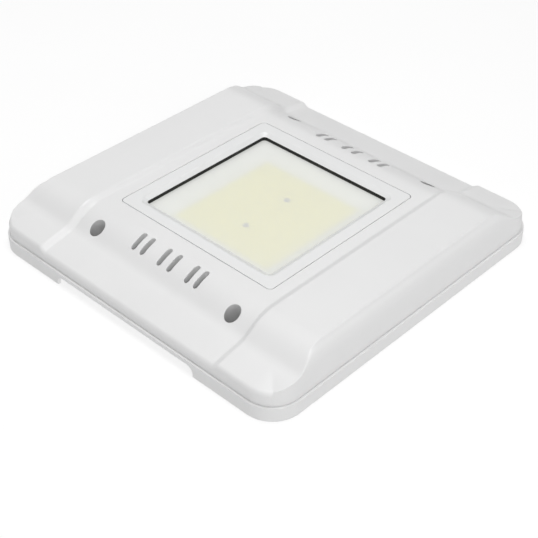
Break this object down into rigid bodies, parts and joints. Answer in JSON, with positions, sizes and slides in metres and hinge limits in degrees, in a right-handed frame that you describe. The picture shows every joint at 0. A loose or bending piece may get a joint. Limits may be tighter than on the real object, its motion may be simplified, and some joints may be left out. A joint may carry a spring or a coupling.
{
  "type": "canopy light",
  "caption": "Flat square canopy light with a flush frosted glass over a yellow LED panel, open vent slots, and a lift-off cover.",
  "frame": {"origin": "centre of the mounting plane, where the base's skirt and bosses meet the ceiling", "axes": "+Z out of the glass, away from the ceiling; the vent slots and the skirt's notches are on the -Y and +Y sides"},
  "size_m": [0.3768, 0.3768, 0.0514],
  "materials": {
    "cover_white": "satin",
    "bezel_white": "satin",
    "tray_white": "satin",
    "black_rubber": "matte",
    "grey_silicone": "matte",
    "frosted_glass": "satin",
    "frame_white": "satin",
    "board_white": "gloss",
    "led_yellow": "satin",
    "sink_aluminium": "satin",
    "driver_aluminium": "satin",
    "black_plastic": "matte",
    "steel": "satin",
    "brass_plated": "satin",
    "natural_plastic": "satin",
    "lead_sleeve": "satin",
    "lead_red": "satin"
  },
  "bodies": {
    "base": {"base_tray": "tray_white", "lens_bezel": "bezel_white", "lens_gasket": "black_rubber", "lens_glass": "frosted_glass", "lens_frame": "frame_white", "frame_seal": "grey_silicone", "bezel_screws": "steel", "led_board": "board_white", "led_panel": "led_yellow", "led_board_screws": "steel", "thermal_pad": "grey_silicone", "heat_sink": "sink_aluminium", "heat_sink_screws": "steel", "led_driver": "driver_aluminium", "driver_end_caps": "black_plastic", "driver_screws": "steel", "terminal_block": "natural_plastic", "terminal_screws": "brass_plated", "entry_grommet": "black_rubber", "cord_clamp": "natural_plastic", "cord_clamp_screws": "steel", "earth_screw": "brass_plated", "supply_leads": "lead_sleeve", "led_leads": "lead_red", "wire_clips": "natural_plastic"},
    "cover": {"front_cover": "cover_white", "cover_washers": "grey_silicone"},
    "screw_front_left": {"cover_screw_front_left": "steel"},
    "screw_front_right": {"cover_screw_front_right": "steel"},
    "screw_back_left": {"cover_screw_back_left": "steel"},
    "screw_back_right": {"cover_screw_back_right": "steel"}
  },
  "joints": [
    {"name": "cover_lift", "type": "slide", "parent": "base", "child": "cover", "axis": [0, 0, 1], "range_m": [0, 0.06]},
    {"name": "screw_front_left_turn", "type": "hinge", "parent": "cover", "child": "screw_front_left", "pos_m": [-0.0905, -0.1373, 0.0215], "axis": [0, 0, 1], "continuous": true},
    {"name": "screw_front_right_turn", "type": "hinge", "parent": "cover", "child": "screw_front_right", "pos_m": [0.0905, -0.1373, 0.0215], "axis": [0, 0, 1], "continuous": true},
    {"name": "screw_back_left_turn", "type": "hinge", "parent": "cover", "child": "screw_back_left", "pos_m": [-0.0905, 0.1373, 0.0215], "axis": [0, 0, 1], "continuous": true},
    {"name": "screw_back_right_turn", "type": "hinge", "parent": "cover", "child": "screw_back_right", "pos_m": [0.0905, 0.1373, 0.0215], "axis": [0, 0, 1], "continuous": true}
  ]
}
